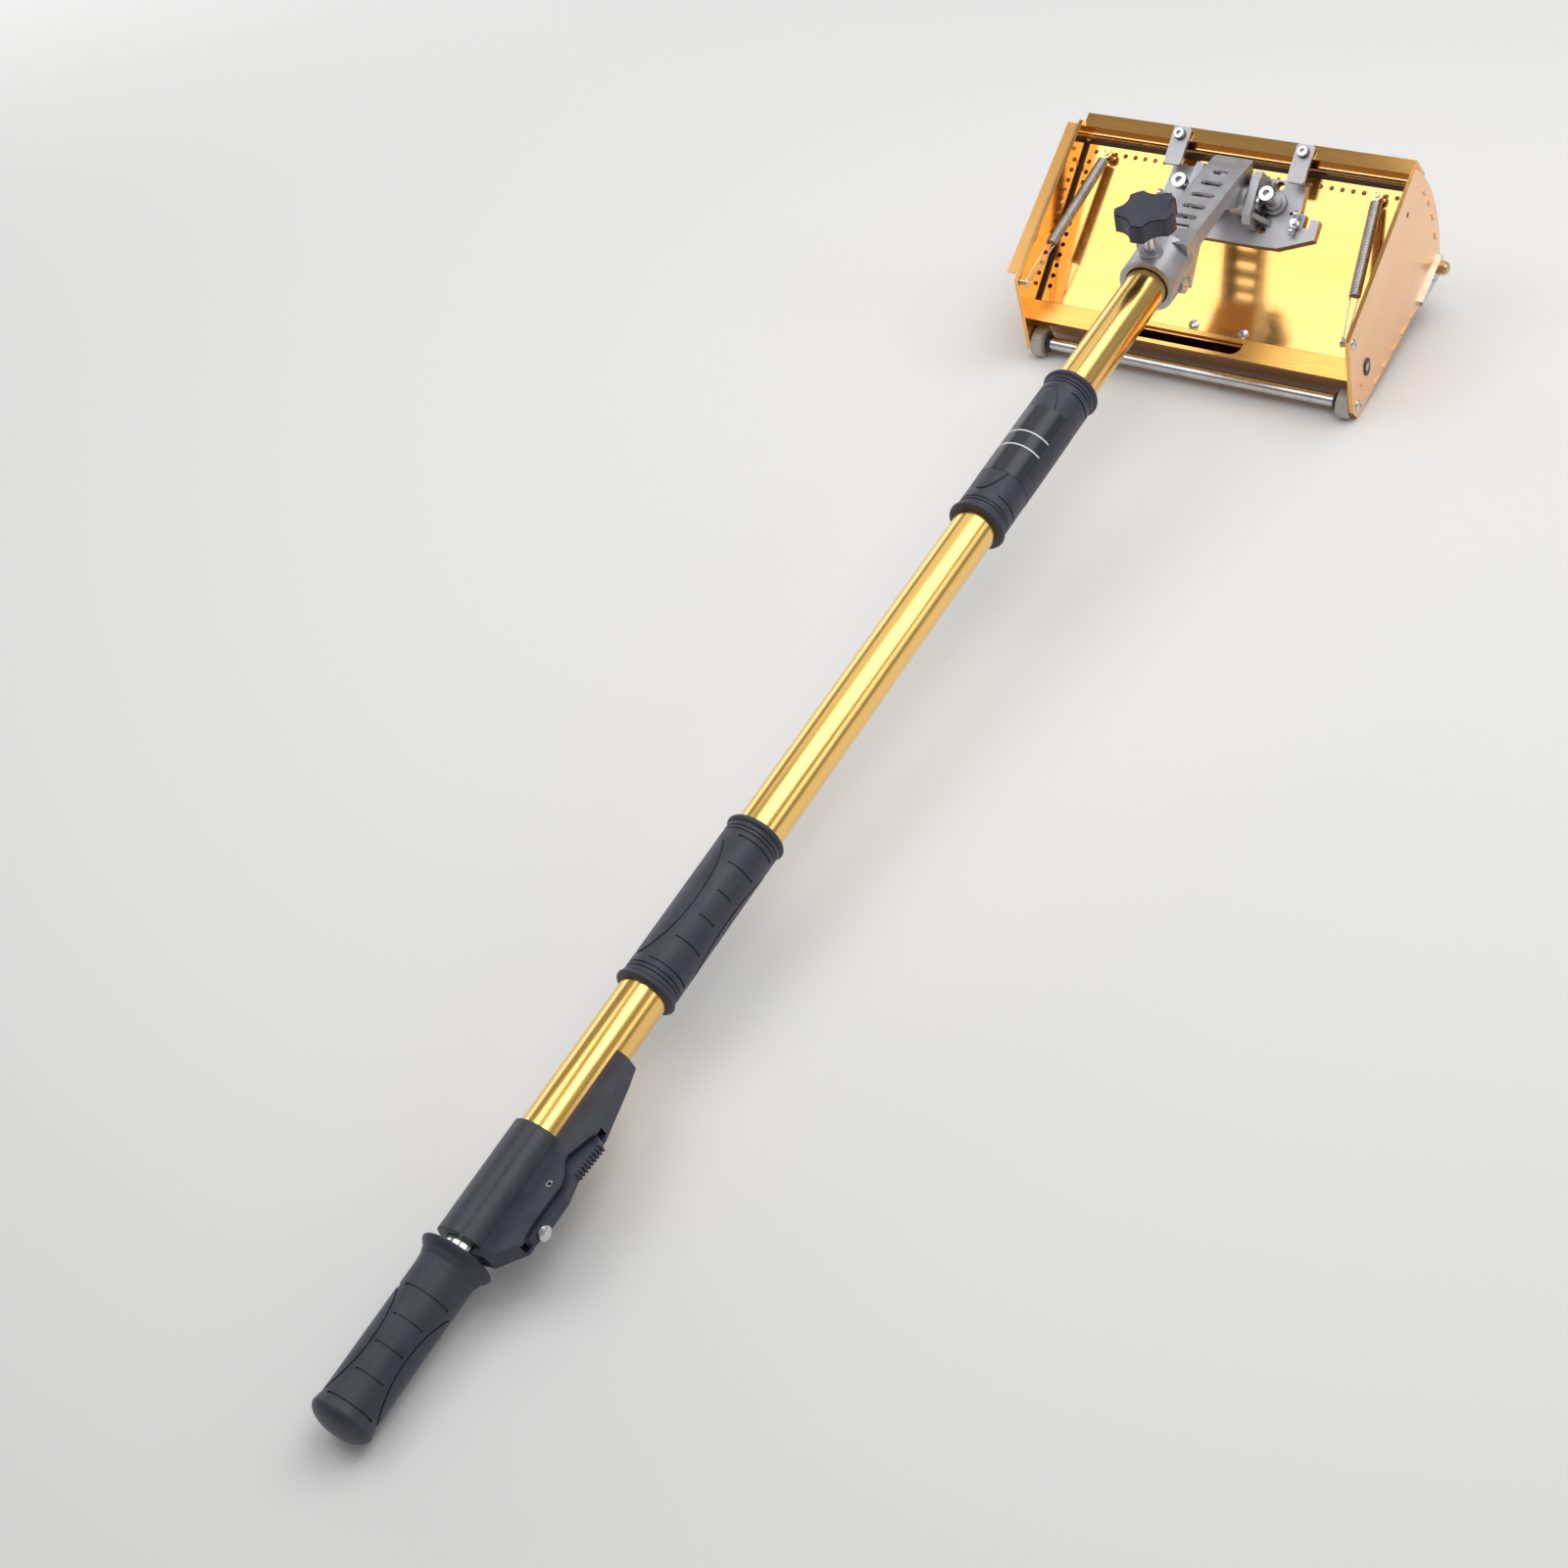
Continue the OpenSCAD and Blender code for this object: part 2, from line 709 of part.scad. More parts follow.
module yoke() {
    color(cast_grey) pole_frame() difference() {
        union() {
            intersection() {
                along_pole(60) polygon(concat(yoke_top, yoke_side));
                translate([0, 40, 0]) rotate([90, 0, 0]) linear_extrude(80)
                    polygon([for (s = [1, -1], p = s > 0
                        ? [[-26, 13.4], [-24, 14.5], [62, 14.5], [90, 19]]
                        : [[90, 19], [62, 14.5], [-24, 14.5], [-26, 13.4]])
                        [s * p[1], p[0]]]);
            }
            translate([0, 0, ring_start]) cylinder(d = ring_d, h = ring_end - ring_start);
            // the barrel and its two webs
            translate([-18.6, pivot_up, pivot_at]) rotate([0, 90, 0])
                cylinder(r = 10.6, h = 37.2);
            for (s = [-1, 1]) translate([s * 11, 0, 0])
                along_pole(6) polygon([[-20, -4], [pivot_at - 9.4, pivot_up],
                    [pivot_at + 9.4, pivot_up], [24, -2.2]]);
            // bosses for the star knob and for the set screw
            translate([0, 15, knob_at]) rotate([-90, 0, 0]) cylinder(r = 8, h = 6.8);
            translate([15, -6.4, 102]) rotate([0, 90, 0]) cylinder(r = 5, h = 6.4);
        }
        // the inside of the channel follows its top
        along_pole(yoke_w - 7) polygon([[-30, 0.8], [-2.8, 5.2], [63, 8.9],
            [66, -40], [24, -40], [24, -3], [-22, -4.8], [-30, -4.8]]);
        along_pole(16) polygon([[-22, 1.9], [24, 6.6], [30, -30], [-30, -30]]);
        // the socket for the tube
        translate([0, 0, tube_start - 0.2])
            cylinder(r = tube_r + 0.02, h = ring_end);
        translate([0, 0, ring_end - 1.5])
            cylinder(r1 = tube_r - 0.4, r2 = tube_r + 1.4, h = 1.8);
        yoke_slots();
        translate([0, 0, knob_at]) rotate([-90, 0, 0]) cylinder(r = 4.02, h = 30);
        translate([0, -6.4, 102]) rotate([0, 90, 0]) cylinder(r = 2.05, h = 30);
        translate([-20, pivot_up, pivot_at]) rotate([0, 90, 0])
            cylinder(r = pivot_d / 2 + 0.06, h = 40);
    }
}

// six slots across the top, the first one short
module yoke_slots() {
    for (s = [[-2.8, 11], [11, 16], [25.4, 17], [39.4, 17], [52, 16], [63.4, 15]])
        translate([0, 20, s[0]]) rotate([90, 0, 0]) linear_extrude(22)
            slot_2d(s[1], 5.2);
}

module set_screw() {
    color(steel) pole_frame() translate([tube_r + 0.3, -6.4, 102])
        rotate([0, 90, 0]) difference() {
            cylinder(r = 2, h = 6.6);
            translate([0, 0, 5]) cylinder(d = 2.2, h = 3, $fn = 6);
        }
}

// the five-lobed knob that clamps the tube in the ring
module star_knob() {
    color(black) pole_frame() translate([0, 42.6, knob_at]) rotate([-90, 0, 0]) {
        difference() {
            union() {
                linear_extrude(11.6) knob_outline(knob_d / 2);
                translate([0, 0, 11.5]) linear_extrude(1.2)
                    knob_outline(knob_d / 2 - 1.4);
                translate([0, 0, -3]) cylinder(r = 8.4, h = 3.1);
            }
            translate([0, 0, -4]) cylinder(r = 3.96, h = 12);
        }
    }
}

module knob_outline(r) {
    difference() {
        circle(r = r);
        for (i = [0:4]) rotate(i * 72 + 24)
            translate([r + 8.6, 0]) circle(r = 13);
    }
}

module clamp_stud() {
    color(steel) pole_frame() translate([0, tube_r + 0.4, knob_at])
        rotate([-90, 0, 0]) cylinder(r = 3.95, h = 34);
}

// ------------------------------------------------------------------ pole

module outer_tube() {
    color(gold) pole_frame() difference() {
        translate([0, 0, tube_start]) cylinder(r = tube_r, h = tube_end - tube_start);
        translate([0, 0, tube_start - 1]) cylinder(r = bore_r, h = tube_end);
        // the slot that the lock pin works through
        rotate([0, 0, lock_turn]) translate([8, -3, 878]) cube([10, 6, 17]);
    }
}

// a grip as a turned profile: a round lip, two fine rings, the plain body,
// and the same again at its far end
module grip_body(at, r, rim) {
    len = at[1] - at[0];
    lip = [for (a = [-90:15:75]) [rim - 2 + 2 * cos(a), 2 + 2 * sin(a)]];
    rings = [for (z = [6.6, 9.2], p = [[r, 0], [r - 0.8, 0.5], [r - 0.8, 1], [r, 1.5]])
        [p[0], z + p[1]]];
    start = concat(lip, [[r - 0.3, 4.4], [r, 5.2]], rings);
    last = len(start) - 1;
    translate([0, 0, at[0]]) rotate_extrude() polygon(concat(
        [[tube_r + 0.01, 0]], start,
        [for (i = [last:-1:0]) [start[i][0], len - start[i][1]]],
        [[tube_r + 0.01, len]]));
}

// the skin of a grip, where its grooves are cut
module grip_skin(z0, z1, r, deep) {
    translate([0, 0, z0]) difference() {
        cylinder(r = r + 3, h = z1 - z0);
        cylinder(r = r - deep, h = z1 - z0);
    }
}

// short grooves for the fingers on both faces of a grip, turned about it
module finger_grooves(first, pitch, halves, r, turn) {
    for (i = [0:len(halves) - 1])
        intersection() {
            grip_skin(first + i * pitch, first + i * pitch + 1.4, r, 0.8);
            for (s = [0, 180]) rotate([0, 0, turn + s])
                translate([-halves[i], 2, first - 5])
                    cube([2 * halves[i], 30, len(halves) * pitch + 10]);
        }
}

// the fine grooves that outline a panel on each side of a grip: seen from
// the finger side they bow in to the middle and run out to the edge
module panel_grooves(mid, half_len, reach, r, turn) {
    edge = [for (i = [-12:12]) let (t = sin(i * 7.5))
        [r * cos(reach * sqrt(1 - t * t)), mid + t * half_len]];
    intersection() {
        grip_skin(mid - half_len - 2, mid + half_len + 2, r, 0.7);
        for (s = [0, 180]) rotate([90, 0, turn + s])
            linear_extrude(60, center = true) polygon(concat(
                edge, [for (i = [24:-1:0]) [edge[i][0] + 0.9, edge[i][1]]]));
    }
}

module upper_grip() {
    r = upper_grip_d / 2;
    color(rubber) pole_frame() difference() {
        grip_body(upper_grip_at, r, 19.3);
        finger_grooves(upper_grip_at[0] + 15, 20, [12, 9, 6, 6, 9, 12], r, -76);
        panel_grooves(293, 52, 51, r, -76);
        // the shallow seat of the band
        grip_skin(262, 324, r, 0.5);
    }
}

// a plain smooth band round the upper grip
module grip_band() {
    color(band_grey) pole_frame() translate([0, 0, 262.2]) difference() {
        cylinder(r = upper_grip_d / 2 + 0.15, h = 61.6);
        translate([0, 0, -1]) cylinder(r = upper_grip_d / 2 - 0.49, h = 64);
    }
}

module middle_grip() {
    r = middle_grip_d / 2;
    color(rubber) pole_frame() difference() {
        grip_body(middle_grip_at, r, 18.5);
        finger_grooves(middle_grip_at[0] + 13.2, 18.1, [12, 9, 5.3, 5.5, 9, 13], r, -49);
        panel_grooves(680.3, 46, 51, r, -49);
    }
}

// ------------------------------------------------------------------ lock

// outline of the lock body beside the pole, [station, reach]
lock_outline = [[779, 12], [779.3, 15.4], [781.6, 23.4], [794, 27.8],
    [817, 34], [827.5, 37], [831, 36.2], [845, 29.6], [848.5, 30.2],
    [856, 36], [862, 38.6], [884, 37.6], [898, 38.6], [904, 31.4],
    [911, 23.2], [911, 12]];

module lock_housing() {
    color(black) lock_frame() difference() {
        union() {
            translate([0, 0, sleeve_at[0]])
                cylinder(d = lock_d, h = sleeve_at[1] - sleeve_at[0]);
            lock_layer(lock_t) polygon(lock_outline);
            // the parting line of the moulding
            rotate([0, 0, -29]) translate([-0.3, lock_d / 2 - 0.3, sleeve_at[0] + 0.6])
                cube([0.6, 0.55, sleeve_at[1] - sleeve_at[0] - 1.2]);
        }
        translate([0, 0, 700]) cylinder(r = tube_r + 0.02, h = tube_end - 700 + 0.2);
        translate([0, 0, 800]) cylinder(r = inner_r + 0.6, h = 200);
        // the slot that the lever works in
        lock_layer(lever_t + 0.8) polygon([[824, 60], [824, 25.5], [852, 21.6],
            [878, 21.6], [879, 9], [894, 9], [899, 22], [899, 60]]);
        translate([lever_pin[1], -10, lever_pin[0]]) rotate([-90, 0, 0])
            cylinder(r = 1.98, h = 20);
    }
}

module roll_pin() {
    color(steel) lock_frame()
        translate([lever_pin[1], -lock_t / 2, lever_pin[0]]) rotate([-90, 0, 0])
            difference() {
                cylinder(r = 1.97, h = lock_t);
                translate([0, 0, -1]) cylinder(r = 1.1, h = lock_t + 2);
                translate([0, -0.3, -1]) cube([3, 0.6, lock_t + 2]);
            }
}

// the lever: a thumb pad at one end, the lock pin at the other
module lock_lever() {
    color(black) lock_frame() difference() {
        union() {
            lock_layer(lever_t) polygon([[828, 33.4], [829.4, 38],
                [833, 41.6], [853.4, 40], [858.4, 41.2], [867, 43.7],
                [885, 43.4], [893, 41], [895.4, 36.6], [893.4, 31],
                [870, 26.4], [856, 25], [845, 26.4], [836, 29.4]]);
            // ribs across the thumb pad
            for (i = [0:8]) translate([41.1 - 0.19 * i, 0, 833.6 + 2.3 * i])
                cube([2.9, lever_t + 0.4, 1.2], center = true);
            lock_layer(lever_t + 0.4) polygon([[831, 38.6], [833, 41.2],
                [853.4, 39.8], [853.4, 37.6]]);
        }
        translate([lever_pin[1], -10, lever_pin[0]]) rotate([-90, 0, 0])
            cylinder(r = 2.04, h = 20);
        translate([28, 0, 887]) rotate([0, 90, 0]) cylinder(r = 2.25, h = 22);
    }
}

// the pin that drops into the inner tube, headed on the lever's tail
module lock_pin() {
    color(steel) lock_frame() translate([11, 0, 887]) rotate([0, 90, 0]) {
        cylinder(r = 2.24, h = 33);
        translate([0, 0, 32.7]) intersection() {
            cylinder(r = 4.2, h = 1.7);
            translate([0, 0, -6]) sphere(r = 7.9);
        }
    }
}

// the bush in the mouth of the outer tube
module guide_bush() {
    color(black) pole_frame() difference() {
        translate([0, 0, 861]) cylinder(r = bore_r - 0.01, h = 38.8);
        translate([0, 0, 860]) cylinder(r = inner_r + 0.07, h = 42);
        rotate([0, 0, lock_turn]) translate([6, -3, 878]) cube([10, 6, 17]);
    }
}

module inner_tube() {
    color(steel) pole_frame() difference() {
        translate([0, 0, inner_start])
            cylinder(r = inner_r, h = 1010 - inner_start);
        translate([0, 0, inner_start - 1])
            cylinder(r = inner_r - inner_wall, h = 1012 - inner_start);
    }
}

// the bush on the upper end of the inner tube
module inner_bush() {
    color(black) pole_frame() translate([0, 0, inner_start - 4]) difference() {
        union() {
            cylinder(r = bore_r - 0.08, h = 4);
            cylinder(r = inner_r - inner_wall - 0.01, h = 20);
            translate([0, 0, 4]) difference() {
                cylinder(r = bore_r - 0.08, h = 16);
                translate([0, 0, -1]) cylinder(r = inner_r + 0.01, h = 20);
            }
        }
        translate([0, 0, -1]) cylinder(r = 6, h = 30);
    }
}

// the end grip: a flared collar, grooves, and a domed closed end
module end_grip() {
    a0 = end_grip_at[0];
    len = end_grip_at[1] - a0;
    r = end_grip_d / 2;
    color(rubber) pole_frame() difference() {
        translate([0, 0, a0]) rotate_extrude() polygon(concat(
            [[inner_r + 0.01, 0], [20.2, 0], [20.8, 0.8], [20.4, 2],
             [18, 5], [16.6, 9], [r, 14]],
            [[r, 90], [r + 0.5, 93], [17.2, 95.6], [17.4, 96.4]],
            [for (t = [0:9:90]) [17.4 * cos(t), 96.4 + (len - 96.4) * sin(t)]],
            [[0, 96.6], [inner_r + 0.01, 96.6]]));
        finger_grooves(a0 + 27, 15.9, [12.8, 8.8, 8.2, 8.1, 13], r, -28);
        panel_grooves(a0 + 59.5, 33, 54, r, -28);
    }
}

// ------------------------------------------------------------- the nodes

side_plate_left();
side_plate_right();
curved_wall();
body_pan();
front_strip();
top_rail();
blade_holder();
blade();
skid_left();
skid_right();
crown_nut_left();
crown_nut_right();
hinge_rod();
hinge_bushes();
wheel_axle();
axle_rings();
axle_screws();
anchor_screws();
spring_left();
spring_right();
latch_screws();
latch_washers();
latch_left();
latch_right();
wheel_left();
wheel_right();
pressure_plate();
plate_seal();
hinge_bar();
plate_screws();
spring_posts();
mount_plate();
mount_studs();
bracket_left();
bracket_right();
cap_screws();
pivot_axle();
yoke();
set_screw();
outer_tube();
upper_grip();
grip_band();
middle_grip();
lock_housing();
roll_pin();
guide_bush();
star_knob();
clamp_stud();
lock_lever();
lock_pin();
inner_tube();
inner_bush();
end_grip();
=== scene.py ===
# %% [markdown]
# # A drywall finishing box on a long handle
#
# A wide gold box spreads joint compound over taped wall joints. A long
# telescoping handle with rubber grips is clamped in a cast head, and the head
# turns on the box's pressure plate. The rigid parts arrive as a fixed frame.
# This lesson gives every one of them a surface, adds the pieces that a plain
# solid can't show, such as wound springs, and lights the tool for a picture.

import json
import math

import bmesh
import bpy
from mathutils import Matrix, Vector


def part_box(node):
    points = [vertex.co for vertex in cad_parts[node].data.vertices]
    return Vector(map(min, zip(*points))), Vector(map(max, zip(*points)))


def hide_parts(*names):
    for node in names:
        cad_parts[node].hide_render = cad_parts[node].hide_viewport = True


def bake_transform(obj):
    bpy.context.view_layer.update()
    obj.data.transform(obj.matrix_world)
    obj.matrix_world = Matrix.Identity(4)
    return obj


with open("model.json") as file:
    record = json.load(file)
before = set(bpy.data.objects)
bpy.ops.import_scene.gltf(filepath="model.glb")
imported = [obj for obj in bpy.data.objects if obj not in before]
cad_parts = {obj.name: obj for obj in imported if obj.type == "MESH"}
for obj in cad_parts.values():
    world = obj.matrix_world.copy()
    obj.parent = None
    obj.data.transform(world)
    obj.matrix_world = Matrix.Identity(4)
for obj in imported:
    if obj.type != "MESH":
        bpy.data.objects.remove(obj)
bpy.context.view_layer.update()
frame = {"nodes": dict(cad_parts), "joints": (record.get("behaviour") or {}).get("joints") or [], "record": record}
PARTS = frame["nodes"]
MM = 0.001

# %% [markdown]
# ## Where things are
#
# The box leans back on its wheels, so its own directions are tilted against
# the floor. Two joints of the frame give them: a latch turns about the
# direction that stands out of the pressure plate, and the inner tube slides
# along the handle. Reading them from the frame keeps every added piece true
# if the tool is ever packed at another tilt.

# %% Directions and places read from the joints
JOINTS = {joint["name"]: joint for joint in frame["joints"]}
ACROSS = Vector((1, 0, 0))
PLATE_OUT = Vector(JOINTS["latch_right_turn"]["axis"]).normalized()
PLATE_UP = PLATE_OUT.cross(ACROSS).normalized()
POLE_DOWN = Vector(JOINTS["telescope_slide"]["axis"]).normalized()
POLE_TOP = Vector(JOINTS["clamp_knob_turn"]["axis"]).normalized()
HINGE = Vector(JOINTS["pressure_plate_swing"]["pos_m"])


def in_box(x, up, out):
    """A point given in millimetres from the plate's hinge: across, up the plate, out of it."""
    return HINGE + (ACROSS * x + PLATE_UP * up + PLATE_OUT * out) * MM


def centre(node):
    """The middle of a part's box."""
    low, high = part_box(node)
    return (low + high) / 2


print("plate leans", round(math.degrees(math.acos(PLATE_OUT.z)), 1), "degrees")

# %% [markdown]
# ## The camera and the light
#
# The tool is seen from above its handle, off to the right, with the lens a
# little longer than normal. Polished gold shows what stands around it, so the
# lights matter as much as the paint. A soft panel stands just where the
# pressure plate mirrors it, and another where the left side plate does. A
# large one overhead gives the tube its long bright line, with a weaker one
# beside it for the flank. A low one on each side lights the edges, and the
# pale floor fills in from below.

# %% Camera
CAMERA_PLACE = Vector((0.62798, -0.83292, 0.95305))
CAMERA_TURN = [math.radians(a) for a in (46.3365, 9.3576, 32.68)]
LENS = 52.1
SENSOR_WIDTH = 36

camera_data = bpy.data.cameras.new("camera")
camera_data.lens = LENS
camera_data.sensor_width = SENSOR_WIDTH
camera = bpy.data.objects.new("camera", camera_data)
camera.location = CAMERA_PLACE
camera.rotation_euler = CAMERA_TURN
bpy.context.scene.collection.objects.link(camera)
bpy.context.scene.camera = camera
print("camera stands", round(CAMERA_PLACE.length, 2), "m away")

# %% Floor
FLOOR_SIDE = 12.0
FLOOR_TONE = (0.84, 0.84, 0.84, 1)
FLOOR_ROUGHNESS = 0.9


def pale_floor():
    mesh = bpy.data.meshes.new("floor")
    bm = bmesh.new()
    bmesh.ops.create_grid(bm, x_segments=1, y_segments=1, size=FLOOR_SIDE / 2)
    bm.to_mesh(mesh)
    bm.free()
    floor = bpy.data.objects.new("floor", mesh)
    bpy.context.scene.collection.objects.link(floor)
    paint = bpy.data.materials.new("pale_floor")
    paint.use_nodes = True
    surface = paint.node_tree.nodes["Principled BSDF"]
    surface.inputs["Base Color"].default_value = FLOOR_TONE
    surface.inputs["Roughness"].default_value = FLOOR_ROUGHNESS
    mesh.materials.append(paint)


pale_floor()

# %% Light helpers


def soft_panel(name, place, width, height, glow, aim):
    """A lit panel turned to its aim. Its glow is how bright a mirror shows it."""
    data = bpy.data.lights.new(name, "AREA")
    data.shape = "RECTANGLE"
    data.size = width
    data.size_y = height
    data.energy = glow * math.pi * width * height
    light = bpy.data.objects.new(name, data)
    light.location = place
    light.rotation_euler = (Vector(aim) - Vector(place)).to_track_quat("-Z", "Y").to_euler()
    bpy.context.scene.collection.objects.link(light)


def mirrored_view(point, normal):
    """The direction in which the camera looks after a mirror at this point."""
    seen = (point - CAMERA_PLACE).normalized()
    return seen - 2 * seen.dot(normal) * normal


# %% Panels that the plates mirror
PANEL_DISTANCE = 1.7
PANEL_DROP = 0.115
plate_middle = in_box(30, 62, 12)
toward_panel = mirrored_view(plate_middle, PLATE_OUT)
panel_side = Vector((0, 0, 1)).cross(toward_panel).normalized()
panel_rise = toward_panel.cross(panel_side)
# it hangs a little low, so that the folded rail doesn't mirror it and stays brown
lowered = plate_middle - panel_rise * PANEL_DROP
soft_panel("plate_panel", lowered + toward_panel * PANEL_DISTANCE,
           width=1.0, height=0.87, glow=1.9, aim=lowered)
# the left side plate shows the pressure plate once more, and that image needs this one
toward_wall = Vector((-toward_panel.x, toward_panel.y, toward_panel.z))
soft_panel("wall_panel", plate_middle + toward_wall * PANEL_DISTANCE,
           width=0.8, height=0.9, glow=1.5, aim=plate_middle)

# %% Panels for the tube and the room
# over the handle, for the bright line down the tube
soft_panel("tube_panel", (0.45, 0.75, 1.62), width=1.3, height=1.6, glow=2.2, aim=(0.1, 0.2, 0.05))
# level and weak beside it, for the flank left of the line
soft_panel("fill_panel", (-0.95, 1.25, 1.62), width=1.4, height=1.3, glow=0.62, aim=(-0.95, 1.25, 0))
# low on each side, for the edges of the tube and the side plates
soft_panel("left_panel", (-1.7, 0.9, 0.42), width=2.2, height=0.75, glow=1.3, aim=(0, 0, 0.1))
soft_panel("right_panel", (1.9, 0.9, 0.95), width=1.2, height=0.6, glow=1.2, aim=(0.3, 0.5, 0.05))

ROOM_TONE = (0.90, 0.89, 0.88, 1)
ROOM_GLOW = 0.34
world = bpy.data.worlds.new("studio")
world.use_nodes = True
room = world.node_tree.nodes["Background"]
room.inputs["Color"].default_value = ROOM_TONE
room.inputs["Strength"].default_value = ROOM_GLOW
bpy.context.scene.world = world
bpy.context.scene.view_settings.view_transform = "Standard"

# %% [markdown]
# ## Effects that several finishes share
#
# Worn edges, casting grain, brushed lines and a thin film of dust turn up on
# many of the parts. Each is a node group built once, with named inputs, and a
# material sets its own values. A group hands back only a mask or a value that
# changes over the surface. The shader itself stays in each material.

# %% A small kit for node groups and materials


def group_of(name, inputs, outputs):
    """A shader node group with the given sockets, and its in and out nodes."""
    tree = bpy.data.node_groups.new(name, "ShaderNodeTree")
    for label, kind, value in inputs:
        socket = tree.interface.new_socket(label, in_out="INPUT", socket_type=kind)
        if value is not None:
            socket.default_value = value
    for label, kind in outputs:
        tree.interface.new_socket(label, in_out="OUTPUT", socket_type=kind)
    return tree, tree.nodes.new("NodeGroupInput"), tree.nodes.new("NodeGroupOutput")


def add(tree, kind, **settings):
    """A new node with its settings filled in."""
    node = tree.nodes.new(kind)
    for key, value in settings.items():
        setattr(node, key, value)
    return node


def maths(tree, operation, a, b=None, clamp=False):
    """A sum on one or two values, each a number or another node's output."""
    node = tree.nodes.new("ShaderNodeMath")
    node.operation = operation
    node.use_clamp = clamp
    for i, value in enumerate((a, b)):
        if value is None:
            continue
        if isinstance(value, (int, float)):
            node.inputs[i].default_value = value
        else:
            tree.links.new(value, node.inputs[i])
    return node.outputs[0]


def stretch(tree, value, low, high, to_low=0.0, to_high=1.0):
    """Maps low..high to to_low..to_high and holds it there beyond."""
    node = tree.nodes.new("ShaderNodeMapRange")
    tree.links.new(value, node.inputs["Value"])
    for label, number in (("From Min", low), ("From Max", high),
                          ("To Min", to_low), ("To Max", to_high)):
        node.inputs[label].default_value = number
    return node.outputs["Result"]


def mixed_colour(tree, mask, first, second):
    """The first colour where the mask is 0 and the second where it is 1."""
    node = tree.nodes.new("ShaderNodeMix")
    node.data_type = "RGBA"
    tree.links.new(mask, node.inputs["Factor"])
    for label, value in (("A", first), ("B", second)):
        socket = next(s for s in node.inputs if s.name == label and s.type == "RGBA")
        if isinstance(value, tuple):
            socket.default_value = (*value, 1)
        else:
            tree.links.new(value, socket)
    return next(s for s in node.outputs if s.type == "RGBA")


def noise(tree, where, scale, detail, rough=0.5):
    """Cloudy values about 0.5. Its scale and the rest may be another node's output."""
    node = tree.nodes.new("ShaderNodeTexNoise")
    tree.links.new(where, node.inputs["Vector"])
    for label, value in (("Scale", scale), ("Detail", detail), ("Roughness", rough)):
        if isinstance(value, (int, float)):
            node.inputs[label].default_value = value
        else:
            tree.links.new(value, node.inputs[label])
    return node.outputs[0]


# %% [markdown]
# ### Worn edges
#
# Handling rubs the finish off corners first. The Bevel node looks a short way
# round each point and returns a rounded normal. Where that differs from the
# real normal there is an edge. This works on any mesh, also on one of loose
# triangles, where pointiness would fail.

# %% Worn edges
edge_tree, edge_in, edge_out = group_of(
    "worn_edge",
    [("Vector", "NodeSocketVector", None), ("Width", "NodeSocketFloat", 0.6 * MM),
     ("Amount", "NodeSocketFloat", 0.5)],
    [("Mask", "NodeSocketFloat")])
rounded = add(edge_tree, "ShaderNodeBevel", samples=4)
edge_tree.links.new(edge_in.outputs["Width"], rounded.inputs["Radius"])
real = add(edge_tree, "ShaderNodeNewGeometry")
dot = add(edge_tree, "ShaderNodeVectorMath", operation="DOT_PRODUCT")
edge_tree.links.new(rounded.outputs["Normal"], dot.inputs[0])
edge_tree.links.new(real.outputs["Normal"], dot.inputs[1])
bare = stretch(edge_tree, dot.outputs["Value"], 0.995, 0.86)
patchy = stretch(edge_tree, noise(edge_tree, edge_in.outputs["Vector"], 260.0, 3.0), 0.35, 0.65)
rubbed = maths(edge_tree, "MULTIPLY", bare, patchy)
edge_tree.links.new(maths(edge_tree, "MULTIPLY", rubbed, edge_in.outputs["Amount"], True),
                    edge_out.inputs["Mask"])

# %% [markdown]
# ### Grain, streaks and dust
#
# Grain is the fine pitted skin of a casting or of moulded rubber. Streaks are
# the long drawn lines of a rolled sheet or an extruded tube: a noise pattern
# whose coordinates are squeezed across the lines. Dust settles on faces that
# look up, so its mask follows the normal and breaks up with noise.

# %% Grain, streaks and dust
grain_tree, grain_in, grain_out = group_of(
    "cast_grain",
    [("Vector", "NodeSocketVector", None), ("Scale", "NodeSocketFloat", 900.0)],
    [("Height", "NodeSocketFloat"), ("Blotch", "NodeSocketFloat")])
fine = noise(grain_tree, grain_in.outputs["Vector"], grain_in.outputs["Scale"], 4.0, 0.6)
coarse_scale = maths(grain_tree, "MULTIPLY", grain_in.outputs["Scale"], 0.22)
coarse = noise(grain_tree, grain_in.outputs["Vector"], coarse_scale, 2.0, 0.5)
both = maths(grain_tree, "ADD", maths(grain_tree, "MULTIPLY", fine, 0.65),
             maths(grain_tree, "MULTIPLY", coarse, 0.35))
grain_tree.links.new(both, grain_out.inputs["Height"])
blotch_scale = maths(grain_tree, "MULTIPLY", grain_in.outputs["Scale"], 0.05)
blotch = noise(grain_tree, grain_in.outputs["Vector"], blotch_scale, 3.0, 0.55)
grain_tree.links.new(stretch(grain_tree, blotch, 0.3, 0.7), grain_out.inputs["Blotch"])

streak_tree, streak_in, streak_out = group_of(
    "drawn_streaks",
    [("Vector", "NodeSocketVector", None), ("Fineness", "NodeSocketFloat", 900.0)],
    [("Lines", "NodeSocketFloat"), ("Bands", "NodeSocketFloat")])
lines = noise(streak_tree, streak_in.outputs["Vector"], streak_in.outputs["Fineness"], 3.0, 0.7)
streak_tree.links.new(lines, streak_out.inputs["Lines"])
band_scale = maths(streak_tree, "MULTIPLY", streak_in.outputs["Fineness"], 0.04)
bands = noise(streak_tree, streak_in.outputs["Vector"], band_scale, 1.0, 0.5)
streak_tree.links.new(stretch(streak_tree, bands, 0.3, 0.7), streak_out.inputs["Bands"])

